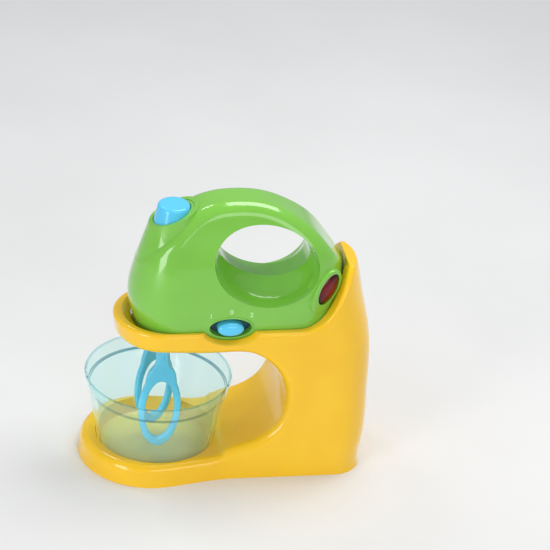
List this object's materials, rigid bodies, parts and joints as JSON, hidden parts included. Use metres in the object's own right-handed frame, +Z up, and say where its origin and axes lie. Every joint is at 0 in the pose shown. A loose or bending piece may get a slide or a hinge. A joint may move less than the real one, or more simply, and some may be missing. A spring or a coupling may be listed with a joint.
{
  "type": "toy stand mixer",
  "caption": "Toy stand mixer: motor unit with a grip and eject button on a C-shaped stand, paired paddle beaters driven by a worm, and a clear bowl.",
  "frame": {"origin": "middle of the footprint, on the surface that the stand rests on", "axes": "+X from the bowl to the column, +Y to the right of someone who faces the bowl's end from the column's side, across the stand, +Z up"},
  "size_m": [0.1937, 0.0998, 0.1985],
  "materials": {
    "stand": "glossy moulded plastic",
    "housing": "glossy moulded plastic",
    "button": "glossy moulded plastic",
    "knob": "glossy moulded plastic",
    "beater": "glossy moulded plastic",
    "clear_bowl": "clear moulded plastic with a pale aqua tint",
    "lens": "dark red clear plastic",
    "led": "clear plastic",
    "inner_white": "natural moulded plastic",
    "inner_black": "black moulded plastic",
    "board": "paper laminate board",
    "steel": "plain steel",
    "cell": "printed sleeve on a steel can, without any print",
    "spring_steel": "spring steel"
  },
  "bodies": {
    "stand": {"stand_left_shell": "stand", "stand_right_shell": "stand", "stand_screws": "steel"},
    "bowl": {"bowl": "clear_bowl"},
    "mixer": {"mixer_left_shell": "housing", "mixer_right_shell": "housing", "mixer_screws": "steel", "battery_door": "housing", "battery_door_screw": "steel", "battery_case": "inner_black", "battery_cells": "cell", "battery_contacts": "steel", "motor_can": "steel", "motor_cap": "inner_white", "gear_tray": "inner_white", "gear_cover": "inner_white", "ejector_guide": "inner_white", "lamp_lens": "lens", "lamp_led": "led", "lamp_board": "board", "switch_body": "inner_black"},
    "left_drive": {"left_drive_wheel": "inner_white"},
    "right_drive": {"right_drive_wheel": "inner_white"},
    "worm_drive": {"drive_worm": "inner_white", "motor_shaft": "steel"},
    "left_beater": {"left_beater": "beater"},
    "right_beater": {"right_beater": "beater"},
    "eject": {"eject_button": "button", "ejector": "inner_white", "eject_spring": "spring_steel"},
    "switch": {"switch_knob": "knob"}
  },
  "joints": [
    {"name": "mixer_lift", "type": "slide", "parent": "stand", "child": "mixer", "axis": [0, 0, 1], "range_m": [0, 0.11]},
    {"name": "bowl_lift", "type": "slide", "parent": "stand", "child": "bowl", "axis": [0, 0, 1], "range_m": [0, 0.0025]},
    {"name": "left_drive_spin", "type": "hinge", "parent": "mixer", "child": "left_drive", "pos_m": [-0.0446, -0.014, 0.1279], "axis": [0, 0, 1], "continuous": true},
    {"name": "right_drive_spin", "type": "hinge", "parent": "mixer", "child": "right_drive", "pos_m": [-0.0446, 0.014, 0.1279], "axis": [0, 0, 1], "continuous": true},
    {"name": "worm_spin", "type": "hinge", "parent": "mixer", "child": "worm_drive", "pos_m": [-0.0446, 0, 0.1279], "axis": [1, 0, 0], "continuous": true},
    {"name": "eject_press", "type": "slide", "parent": "mixer", "child": "eject", "axis": [0, 0, -1], "range_m": [0, 0.0028], "stiffness_N_per_m": 400, "springref_m": -0.0008, "deforming": ["eject_spring"]},
    {"name": "left_beater_eject", "type": "slide", "parent": "left_drive", "child": "left_beater", "axis": [0, 0, -1], "range_m": [0, 0.0028]},
    {"name": "right_beater_eject", "type": "slide", "parent": "right_drive", "child": "right_beater", "axis": [0, 0, -1], "range_m": [0, 0.0028]},
    {"name": "switch_slide", "type": "slide", "parent": "mixer", "child": "switch", "axis": [1, 0, 0], "range_m": [-0.004, 0.004]}
  ],
  "couplings": [
    {"joint": "right_drive_spin", "follows": "left_drive_spin", "ratio": -1},
    {"joint": "worm_spin", "follows": "left_drive_spin", "ratio": 19},
    {"joint": "left_beater_eject", "follows": "eject_press", "ratio": 1},
    {"joint": "right_beater_eject", "follows": "eject_press", "ratio": 1}
  ]
}
